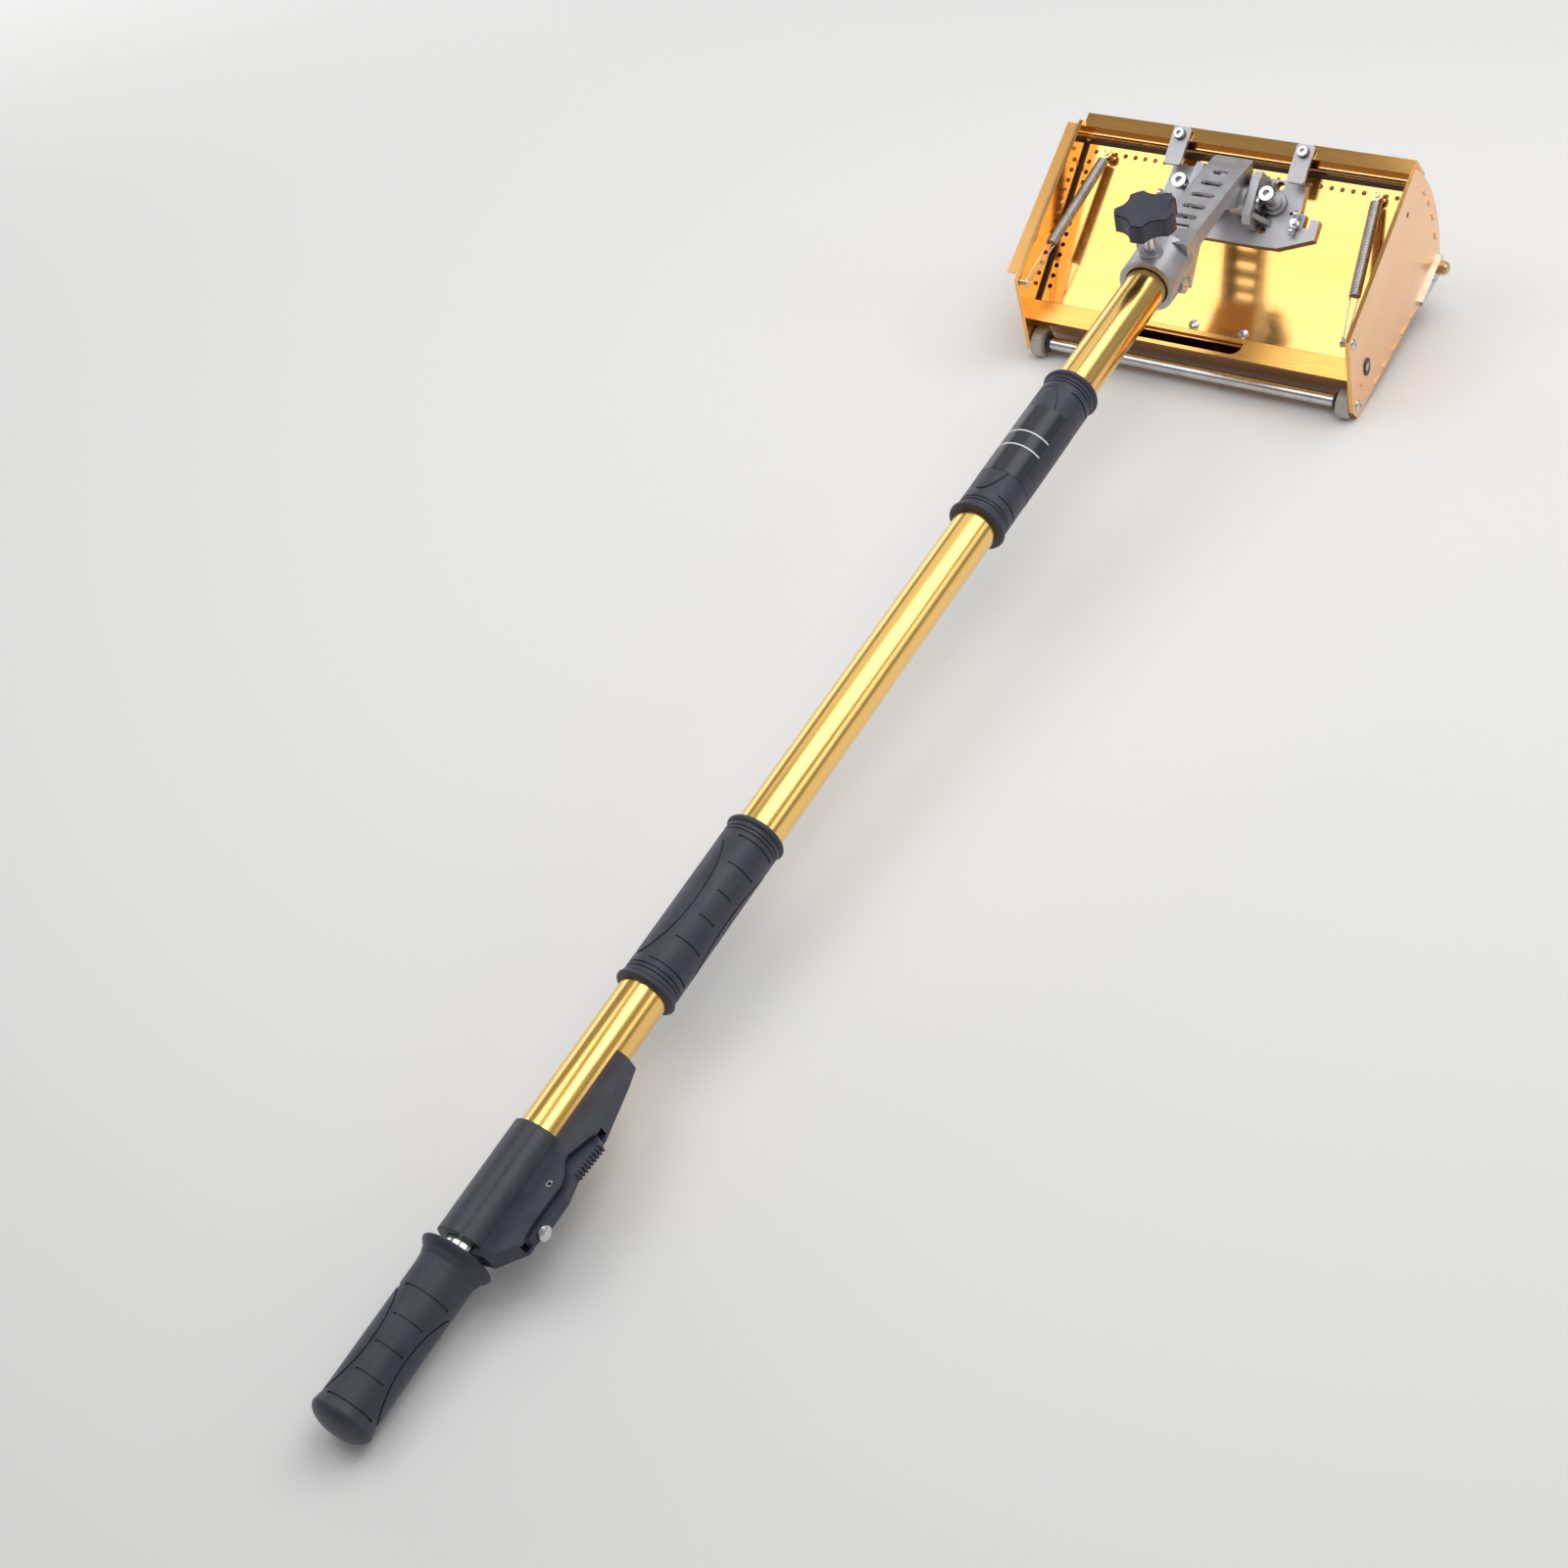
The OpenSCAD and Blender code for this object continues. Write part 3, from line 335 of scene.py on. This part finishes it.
dust_tree, dust_in, dust_out = group_of(
    "settled_dust",
    [("Vector", "NodeSocketVector", None), ("Amount", "NodeSocketFloat", 0.3)],
    [("Mask", "NodeSocketFloat")])
facing = add(dust_tree, "ShaderNodeTexCoord")
split = add(dust_tree, "ShaderNodeSeparateXYZ")
dust_tree.links.new(facing.outputs["Normal"], split.inputs[0])
upward = stretch(dust_tree, split.outputs["Z"], 0.2, 0.95)
specks = stretch(dust_tree, noise(dust_tree, dust_in.outputs["Vector"], 60.0, 6.0, 0.65), 0.42, 0.75)
film = maths(dust_tree, "MULTIPLY", upward, specks)
dust_tree.links.new(maths(dust_tree, "MULTIPLY", film, dust_in.outputs["Amount"], True),
                    dust_out.inputs["Mask"])
print("effects:", [g.name for g in bpy.data.node_groups])

# %% [markdown]
# ## A bench for making finishes
#
# Every finish starts the same way: a Principled shader, the object's own
# coordinates, and the shared effects. The bench class keeps these at hand so
# that each finish below is a few lines long and reads like a recipe. Numbers
# that are equal all over a part go straight on the shader's sockets.

# %% The bench


class Bench:
    """A new material with its shader, the object's coordinates and the effects at hand."""

    def __init__(self, name, **sockets):
        self.material = bpy.data.materials.new(name)
        self.material.use_nodes = True
        self.tree = self.material.node_tree
        self.shader = self.tree.nodes["Principled BSDF"]
        for label, value in sockets.items():
            self.shader.inputs[label.replace("_", " ")].default_value = value
        self.where = add(self.tree, "ShaderNodeTexCoord").outputs["Object"]

    def turned(self, rotation, scale):
        """Object coordinates turned, then squeezed, for patterns with a direction."""
        turn = add(self.tree, "ShaderNodeMapping", vector_type="TEXTURE")
        turn.inputs["Rotation"].default_value = rotation
        self.tree.links.new(self.where, turn.inputs["Vector"])
        squeeze = add(self.tree, "ShaderNodeMapping")
        squeeze.inputs["Scale"].default_value = scale
        self.tree.links.new(turn.outputs[0], squeeze.inputs["Vector"])
        return squeeze.outputs[0]

    def effect(self, name, where=None, **values):
        node = add(self.tree, "ShaderNodeGroup")
        node.node_tree = bpy.data.node_groups[name]
        self.tree.links.new(where or self.where, node.inputs["Vector"])
        for label, value in values.items():
            node.inputs[label].default_value = value
        return node.outputs

    def feed(self, label, value):
        self.tree.links.new(value, self.shader.inputs[label])

    def bump(self, height, depth, strength=1.0):
        node = add(self.tree, "ShaderNodeBump")
        node.inputs["Distance"].default_value = depth
        node.inputs["Strength"].default_value = strength
        self.tree.links.new(height, node.inputs["Height"])
        self.feed("Normal", node.outputs[0])


PLATE_TURN = Matrix((ACROSS, PLATE_UP, PLATE_OUT)).transposed().to_euler()
POLE_TURN = Matrix((ACROSS, POLE_TOP, POLE_DOWN)).transposed().to_euler()

# %% [markdown]
# ## Gold sheet
#
# The plates are bright-rolled aluminium, dyed gold when they are anodised.
# They mirror softly, with faint rolling lines along the width and a slight
# change of tint from place to place. A metallic shader with low roughness
# gives the mirror, and the lines go into roughness and a very shallow bump.
# The folded strip at the front is the same sheet with a duller face.

# %% Gold sheet
GOLD_TONES = ((0.84, 0.45, 0.13), (0.89, 0.50, 0.17))
WORN_GOLD = (0.93, 0.84, 0.62)
LINE_FINENESS = 900.0
LINE_DEPTH = 0.004 * MM
ROLLED_ACROSS = (0.04, 1, 1)


def gold_finish(name, turn, squeeze, roughness, deep, light):
    bench = Bench(name, Metallic=1.0, Coat_Weight=0.15, Coat_Roughness=0.06)
    along = bench.turned(turn, squeeze)
    streaks = bench.effect("drawn_streaks", along, Fineness=LINE_FINENESS)
    tint = mixed_colour(bench.tree, streaks["Bands"], deep, light)
    edge = bench.effect("worn_edge", Width=0.5 * MM, Amount=0.55)["Mask"]
    bench.feed("Base Color", mixed_colour(bench.tree, edge, tint, WORN_GOLD))
    bench.feed("Roughness", stretch(bench.tree, streaks["Lines"], 0.25, 0.75,
                                    roughness * 0.75, roughness * 1.3))
    bench.bump(streaks["Lines"], LINE_DEPTH, 0.25)
    return bench.material


gold_sheet = gold_finish("gold_sheet", PLATE_TURN, ROLLED_ACROSS, 0.13, *GOLD_TONES)
strip_sheet = gold_finish("strip_sheet", PLATE_TURN, ROLLED_ACROSS, 0.30,
                          (0.86, 0.46, 0.11), (0.90, 0.50, 0.13))
print("sheet finishes:", gold_sheet.name, strip_sheet.name)

# %% [markdown]
# ### The outer faces of the side plates
#
# Outside, the side plates are satin and paler than the bright inner faces.
# Both faces belong to one part, so the finish looks at how far a point is
# from the plane of the outer faces, and changes over there. The lip that the
# left plate turns outwards stands beyond that plane. It keeps the inner tint
# and takes the satin.

# %% Side plates
SIDE_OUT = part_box("side_plate_right")[1].x
SATIN_TONES = ((0.98, 0.60, 0.33), (1.00, 0.64, 0.37))
ROLLED_UP = (1, 0.06, 1)


def side_sheet_finish():
    bench = Bench("side_sheet", Metallic=1.0, Coat_Weight=0.2, Coat_Roughness=0.2)
    along = bench.turned(PLATE_TURN, ROLLED_UP)
    streaks = bench.effect("drawn_streaks", along, Fineness=LINE_FINENESS)
    parts = add(bench.tree, "ShaderNodeSeparateXYZ")
    bench.tree.links.new(bench.where, parts.inputs[0])
    from_face = maths(bench.tree, "ABSOLUTE", maths(
        bench.tree, "SUBTRACT", maths(bench.tree, "ABSOLUTE", parts.outputs["X"]), SIDE_OUT))
    outside = stretch(bench.tree, from_face, 0.3 * MM, 0.1 * MM)
    lip = stretch(bench.tree, parts.outputs["X"], -SIDE_OUT - 0.5 * MM, -SIDE_OUT - 0.8 * MM)
    inner = mixed_colour(bench.tree, streaks["Bands"], *GOLD_TONES)
    outer = mixed_colour(bench.tree, streaks["Bands"], *SATIN_TONES)
    edge = bench.effect("worn_edge", Width=0.5 * MM, Amount=0.5)["Mask"]
    tint = mixed_colour(bench.tree, outside, inner, outer)
    bench.feed("Base Color", mixed_colour(bench.tree, edge, tint, WORN_GOLD))
    bright = stretch(bench.tree, streaks["Lines"], 0.25, 0.75, 0.10, 0.17)
    satin = stretch(bench.tree, streaks["Lines"], 0.25, 0.75, 0.15, 0.22)
    dulled = maths(bench.tree, "MAXIMUM", outside, lip)
    bench.feed("Roughness", maths(bench.tree, "ADD", bright,
                                  maths(bench.tree, "MULTIPLY", dulled, satin)))
    bench.bump(streaks["Lines"], LINE_DEPTH, 0.25)
    return bench.material


side_sheet = side_sheet_finish()
print("outer faces at", round(SIDE_OUT / MM, 2), "mm")

# %% [markdown]
# ## Gold tube
#
# The handle's tube is drawn through a die, so its lines run along it. It is
# duller than the sheet, and a long soft highlight lies on it.

# %% Gold tube
DRAWN_ALONG = (1, 1, 0.03)
gold_tube = gold_finish("gold_tube", POLE_TURN, DRAWN_ALONG, 0.19,
                        (0.94, 0.58, 0.16), (0.97, 0.63, 0.21))
print("tube finish:", gold_tube.name)

# %% [markdown]
# ## Cast metal
#
# The head, its brackets, the mount plate and the latches are aluminium
# castings with a grey coat. The skin is pitted, paler on rubbed corners and a
# little blotched. Grain drives a bump of about a tenth of a millimetre. Painted
# shade darkens the nooks and the slots, where the Ambient Occlusion node finds
# little air.

# %% Cast metal
CAST_TONES = ((0.44, 0.44, 0.465), (0.55, 0.545, 0.575))
# painted shade: nooks and slots darken towards this near-black tone, as far as the AO node reaches
PAINTED_SHADE_TONE = (0.045, 0.045, 0.05)
SHADE_REACH = 9 * MM


def cast_metal():
    bench = Bench("cast_metal", Metallic=0.75)
    grain = bench.effect("cast_grain", Scale=1500.0)
    skin = mixed_colour(bench.tree, grain["Blotch"], *CAST_TONES)
    # painted shade: where the AO node finds little air, the grey skin turns near black
    shade_probe = add(bench.tree, "ShaderNodeAmbientOcclusion", samples=6)
    shade_probe.inputs["Distance"].default_value = SHADE_REACH
    unshaded = stretch(bench.tree, shade_probe.outputs["AO"], 0.25, 0.75)
    tone = mixed_colour(bench.tree, unshaded, PAINTED_SHADE_TONE, skin)
    edge = bench.effect("worn_edge", Width=0.9 * MM, Amount=0.8)["Mask"]
    bench.feed("Base Color", mixed_colour(bench.tree, edge, tone, (0.84, 0.83, 0.85)))
    bench.feed("Roughness", stretch(bench.tree, grain["Blotch"], 0.0, 1.0, 0.36, 0.50))
    bench.bump(grain["Height"], 0.09 * MM, 0.55)
    return bench.material


cast_grey = cast_metal()
print("cast finish:", cast_grey.name)

# %% [markdown]
# ## Bright steel, brass and chrome
#
# Screws, rods and springs are plated steel: bright, with tiny swirls that
# break the mirror. Brass keeps the same swirls in a warm tone. The inner tube
# is hard chrome, the sharpest mirror on the tool.

# %% Bright metals


def bright_metal(name, colour, dull, roughness, swirl):
    bench = Bench(name, Metallic=1.0)
    grain = bench.effect("cast_grain", Scale=swirl)
    tone = mixed_colour(bench.tree, grain["Blotch"], dull, colour)
    edge = bench.effect("worn_edge", Width=0.25 * MM, Amount=0.5)["Mask"]
    bench.feed("Base Color", mixed_colour(bench.tree, edge, tone, (0.92, 0.92, 0.93)))
    bench.feed("Roughness", stretch(bench.tree, grain["Height"], 0.3, 0.7,
                                    roughness * 0.7, roughness * 1.4))
    bench.bump(grain["Height"], 0.01 * MM, 0.35)
    return bench.material


bright_steel = bright_metal("bright_steel", (0.70, 0.70, 0.71), (0.54, 0.54, 0.56), 0.24, 1200.0)
turned_brass = bright_metal("turned_brass", (0.82, 0.66, 0.34), (0.62, 0.48, 0.22), 0.22, 900.0)
hard_chrome = bright_metal("hard_chrome", (0.88, 0.89, 0.91), (0.80, 0.81, 0.84), 0.07, 300.0)
spring_steel = bright_metal("spring_steel", (0.70, 0.68, 0.66), (0.50, 0.48, 0.47), 0.26, 1500.0)
print("bright metals:", bright_steel.name, turned_brass.name, hard_chrome.name, spring_steel.name)

# %% [markdown]
# ## Moulded black and rubber
#
# The star knob and the lever lock are moulded nylon: nearly black with a blue
# cast and a fine spark-eroded texture. The grips are rubber with a soft sheen,
# and the seal and the axle's rings are darker. The seal's dark brown is painted
# shade, standing for the shadow in its gap beside the plate. A film of dust lies
# on what faces up, because the tool works in plaster dust.

# %% Moulded black and rubber
DUST_TONE = (0.55, 0.54, 0.52)
WORN_LIFT = 2.6
RUBBER_TONES = ((0.024, 0.025, 0.044), (0.036, 0.038, 0.061))
RUBBER_ROUGHNESS = 0.50
RUBBER_GRAIN = 1500.0
RUBBER_DEPTH = 0.06 * MM


def moulded(name, dark, pale, roughness, depth, scale, dust, sheen=0.0):
    bench = Bench(name, Specular_IOR_Level=0.5, Sheen_Weight=sheen, Sheen_Roughness=0.4)
    grain = bench.effect("cast_grain", Scale=scale)
    tone = mixed_colour(bench.tree, grain["Blotch"], dark, pale)
    edge = bench.effect("worn_edge", Width=0.7 * MM, Amount=0.35)["Mask"]
    rubbed_tone = mixed_colour(bench.tree, edge, tone, tuple(c * WORN_LIFT for c in pale))
    film = bench.effect("settled_dust", Amount=dust)["Mask"]
    bench.feed("Base Color", mixed_colour(bench.tree, film, rubbed_tone, DUST_TONE))
    bench.feed("Roughness", stretch(bench.tree, grain["Blotch"], 0.0, 1.0,
                                    roughness * 0.88, roughness * 1.12))
    bench.bump(grain["Height"], depth, 0.5)
    return bench.material


moulded_black = moulded("moulded_black", (0.026, 0.027, 0.046), (0.038, 0.040, 0.064),
                        0.40, 0.05 * MM, 1800.0, 0.03)
grip_rubber = moulded("grip_rubber", *RUBBER_TONES, RUBBER_ROUGHNESS, RUBBER_DEPTH,
                      RUBBER_GRAIN, 0.04, sheen=0.1)
# the seal's dark brown is painted shade: the shadow in its gap beside the pressure plate
seal_painted_shade = moulded("seal_painted_shade", (0.030, 0.011, 0.004), (0.045, 0.018, 0.007),
                      0.6, 0.03 * MM, 1200.0, 0.02)
ring_rubber = moulded("ring_rubber", (0.012, 0.012, 0.013), (0.022, 0.022, 0.023),
                      0.5, 0.03 * MM, 1200.0, 0.02)
print("moulded finishes:", moulded_black.name, grip_rubber.name, seal_painted_shade.name, ring_rubber.name)

# %% [markdown]
# ## The band on the upper grip
#
# A smooth glossy label lies on the upper grip, with two thin pale lines
# printed on it. A line is the set of points at a given place along the pole,
# so its mask comes from one coordinate of the turned pattern, and the angle
# about the pole ends the label on both sides. Beyond it the band is rubber.

# %% Banded grip
LINE_AT = 6.4 * MM
LINE_HALF = 0.62 * MM
LABEL_ENDS = (math.radians(-72), math.radians(58))
LABEL_SOFT = math.radians(1)
LABEL_TONE = (0.016, 0.017, 0.028)
LABEL_ROUGHNESS = 0.27
INK_TONE = (0.72, 0.73, 0.76)


def printed_band():
    bench = Bench("smooth_band")
    middle = centre("grip_band")
    place = add(bench.tree, "ShaderNodeMapping", vector_type="TEXTURE")
    place.inputs["Location"].default_value = middle
    place.inputs["Rotation"].default_value = POLE_TURN
    bench.tree.links.new(bench.where, place.inputs["Vector"])
    parts = add(bench.tree, "ShaderNodeSeparateXYZ")
    bench.tree.links.new(place.outputs[0], parts.inputs[0])
    across, up, along = (parts.outputs[label] for label in "XYZ")
    from_line = maths(bench.tree, "ABSOLUTE", maths(
        bench.tree, "SUBTRACT", maths(bench.tree, "ABSOLUTE", along), LINE_AT))
    line = stretch(bench.tree, from_line, LINE_HALF, LINE_HALF * 0.8)
    angle = maths(bench.tree, "ARCTAN2", across, up)
    begun = stretch(bench.tree, angle, LABEL_ENDS[0], LABEL_ENDS[0] + LABEL_SOFT)
    ended = stretch(bench.tree, angle, LABEL_ENDS[1], LABEL_ENDS[1] - LABEL_SOFT)
    label = maths(bench.tree, "MULTIPLY", begun, ended)
    ink = maths(bench.tree, "MULTIPLY", line, label)
    grain = bench.effect("cast_grain", Scale=RUBBER_GRAIN)
    rubber = mixed_colour(bench.tree, grain["Blotch"], *RUBBER_TONES)
    ground = mixed_colour(bench.tree, label, rubber, LABEL_TONE)
    bench.feed("Base Color", mixed_colour(bench.tree, ink, ground, INK_TONE))
    bench.feed("Roughness", stretch(bench.tree, label, 0.0, 1.0, RUBBER_ROUGHNESS, LABEL_ROUGHNESS))
    grain_left = stretch(bench.tree, label, 0.0, 1.0, 1.0, 0.1)
    bench.bump(maths(bench.tree, "MULTIPLY", grain["Height"], grain_left), RUBBER_DEPTH, 0.5)
    return bench.material


smooth_band = printed_band()
print("label lines", 2 * LINE_HALF / MM, "mm wide")

# %% [markdown]
# ## Wheels
#
# The wheels are a hard grey-brown plastic that light enters a little way. A
# touch of subsurface scattering gives the soft inner glow of that plastic.

# %% Wheels
WHEEL_TONES = ((0.30, 0.26, 0.22), (0.46, 0.42, 0.37))


def wheel_plastic():
    bench = Bench("wheel_plastic", Subsurface_Weight=0.35, Subsurface_Scale=2 * MM,
                  Coat_Weight=0.3, Coat_Roughness=0.15)
    grain = bench.effect("cast_grain", Scale=800.0)
    bench.feed("Base Color", mixed_colour(bench.tree, grain["Blotch"], *WHEEL_TONES))
    bench.feed("Roughness", stretch(bench.tree, grain["Height"], 0.3, 0.7, 0.22, 0.42))
    bench.bump(grain["Height"], 0.02 * MM, 0.4)
    return bench.material


wheel_grey = wheel_plastic()
print("wheel finish:", wheel_grey.name)

# %% [markdown]
# ## Dressing the parts
#
# Each rigid part keeps its mesh and takes a finish in its material slots. The
# record already says which kind of surface a part has, so the parts are
# sorted by that, and no part can be forgotten. Four parts then take a finish
# of their own.

# %% Dress the parts
FINISHES = {
    "gold_sheet": gold_sheet, "gold_tube": gold_tube, "steel": bright_steel,
    "brass": turned_brass, "cast_grey": cast_grey, "black_plastic": moulded_black,
    "black_rubber": seal_painted_shade, "wheel_plastic": wheel_grey,
    "grip_rubber": grip_rubber, "band": smooth_band, "chrome_tube": hard_chrome,
}
for subpart in frame["record"]["subparts"]:
    part = PARTS[subpart["node"]]
    finish = FINISHES[subpart["material_slot"]]
    if not part.material_slots:
        part.data.materials.append(finish)
    for place in part.material_slots:
        place.material = finish
SPECIAL = {"side_plate_left": side_sheet, "side_plate_right": side_sheet,
           "front_strip": strip_sheet, "axle_rings": ring_rubber}
for node, finish in SPECIAL.items():
    for place in PARTS[node].material_slots:
        place.material = finish

# %% [markdown]
# ## Return springs
#
# Two springs pull the pressure plate back out. Each is one wire: an eye on
# the post, a close-wound coil, and a long narrow loop that hooks round the
# screw in the side plate. A ring of wire is spun round the coil's axis and
# moved on a little at each step, which leaves a helix. The eye is bent from
# wire like the loop: the ring extruded from point to point.

# %% Wire helpers
WIRE_R = 0.55 * MM
WIRE_SIDES = 8
TINY = 1e-6


def wire_ring(bm, place, heading):
    """A ring of wire at a place, facing along its heading."""
    turn = heading.to_track_quat("Z", "Y").to_matrix().to_4x4()
    made = bmesh.ops.create_circle(bm, segments=WIRE_SIDES, radius=WIRE_R,
                                   matrix=Matrix.Translation(place) @ turn)
    return list({e for v in made["verts"] for e in v.link_edges})


def wire_through(bm, points):
    """A wire of straight stretches through the points, closed at both ends."""
    headings = [(b - a).normalized() for a, b in zip(points, points[1:])]
    ring = wire_ring(bm, points[0], headings[0])
    bmesh.ops.holes_fill(bm, edges=ring, sides=WIRE_SIDES)
    for i in range(1, len(points)):
        ahead = (headings[i - 1] + headings[min(i, len(headings) - 1)]).normalized()
        made = bmesh.ops.extrude_edge_only(bm, edges=ring)
        verts = [v for v in made["geom"] if isinstance(v, bmesh.types.BMVert)]
        ring = [e for e in made["geom"] if isinstance(e, bmesh.types.BMEdge)]
        bmesh.ops.translate(bm, verts=verts, vec=points[i] - points[i - 1])
        bmesh.ops.rotate(bm, verts=verts, cent=points[i], matrix=ring_turn(verts, ahead))
    bmesh.ops.holes_fill(bm, edges=ring, sides=WIRE_SIDES)


def ring_turn(verts, ahead):
    """The turn that brings a ring of vertices square to a heading."""
    middle = sum((v.co for v in verts), Vector()) / len(verts)
    facing = (verts[0].co - middle).cross(verts[2].co - middle).normalized()
    if facing.dot(ahead) < 0:
        facing = -facing
    return facing.rotation_difference(ahead).to_matrix()


def finished(bm, name, finish):
    """Turns a bmesh into a named smooth object at the origin, normals outwards."""
    bmesh.ops.remove_doubles(bm, verts=bm.verts, dist=TINY)
    bmesh.ops.recalc_face_normals(bm, faces=bm.faces)
    for face in bm.faces:
        face.smooth = True
    mesh = bpy.data.meshes.new(name)
    bm.to_mesh(mesh)
    bm.free()
    mesh.materials.append(finish)
    made = bpy.data.objects.new(name, mesh)
    bpy.context.scene.collection.objects.link(made)
    return made


# %% Wind the springs
POST = (102.7, 112.8, 14.5)
SCREW = (120.6, 3.5, 41)
COIL_R = 3.55 * MM
PITCH = 1.16 * MM
TURN_STEPS = 18
COIL_START = 5.4 * MM
COIL_SHARE = 0.65
EYE_R = 3.3 * MM
EYE_STEPS = [math.radians(d) for d in range(-150, 151, 20)]
LEG_START = 4.2 * MM
LOOP_R = 2.6 * MM
LOOP_STEPS = [math.radians(d) for d in range(-90, 91, 20)]


def return_spring(side):
    top = in_box(side * POST[0], *POST[1:])
    foot = in_box(side * SCREW[0], *SCREW[1:])
    span = foot - top
    axis = span.normalized()
    across = axis.cross(PLATE_OUT).normalized()
    out = across.cross(axis).normalized()
    coil_start = top + axis * COIL_START
    turns = int(span.length * COIL_SHARE / PITCH)
    coil_end = coil_start + axis * turns * PITCH
    bm = bmesh.new()
    ring = wire_ring(bm, coil_start + across * COIL_R, out)
    bmesh.ops.holes_fill(bm, edges=ring, sides=WIRE_SIDES)
    bmesh.ops.spin(bm, geom=ring, cent=coil_start, axis=axis,
                   dvec=axis * PITCH / TURN_STEPS, angle=math.tau * turns,
                   steps=TURN_STEPS * turns, use_merge=False)
    # the eye round the post, and its leg into the coil
    eye = [top + (across * math.sin(a) - axis * math.cos(a)) * EYE_R for a in EYE_STEPS]
    leg = [top + axis * LEG_START, coil_start + axis * MM,
           coil_start + axis * 2 * MM + across * COIL_R * 0.7 - out * COIL_R * 0.5]
    wire_through(bm, eye + leg)
    # the long loop: down one side, round the screw, and back up the other side
    sides = [[coil_end + across * s * COIL_R * 0.86,
              coil_end + axis * 4 * MM + across * s * COIL_R * 0.72,
              foot - axis * 3 * MM + across * s * 0.5 * MM + out * s * 2 * MM]
             for s in (-1, 1)]
    bend = [foot + (out * math.sin(a) + axis * math.cos(a)) * LOOP_R for a in LOOP_STEPS]
    wire_through(bm, sides[0] + bend + sides[1][::-1])
    name = "wound_spring_" + ("right" if side > 0 else "left")
    spring = finished(bm, name, spring_steel)
    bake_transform(spring)
    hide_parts("spring_right" if side > 0 else "spring_left")
    print(name, "turns:", turns, "faces:", len(spring.data.polygons))


for side in (-1, 1):
    return_spring(side)
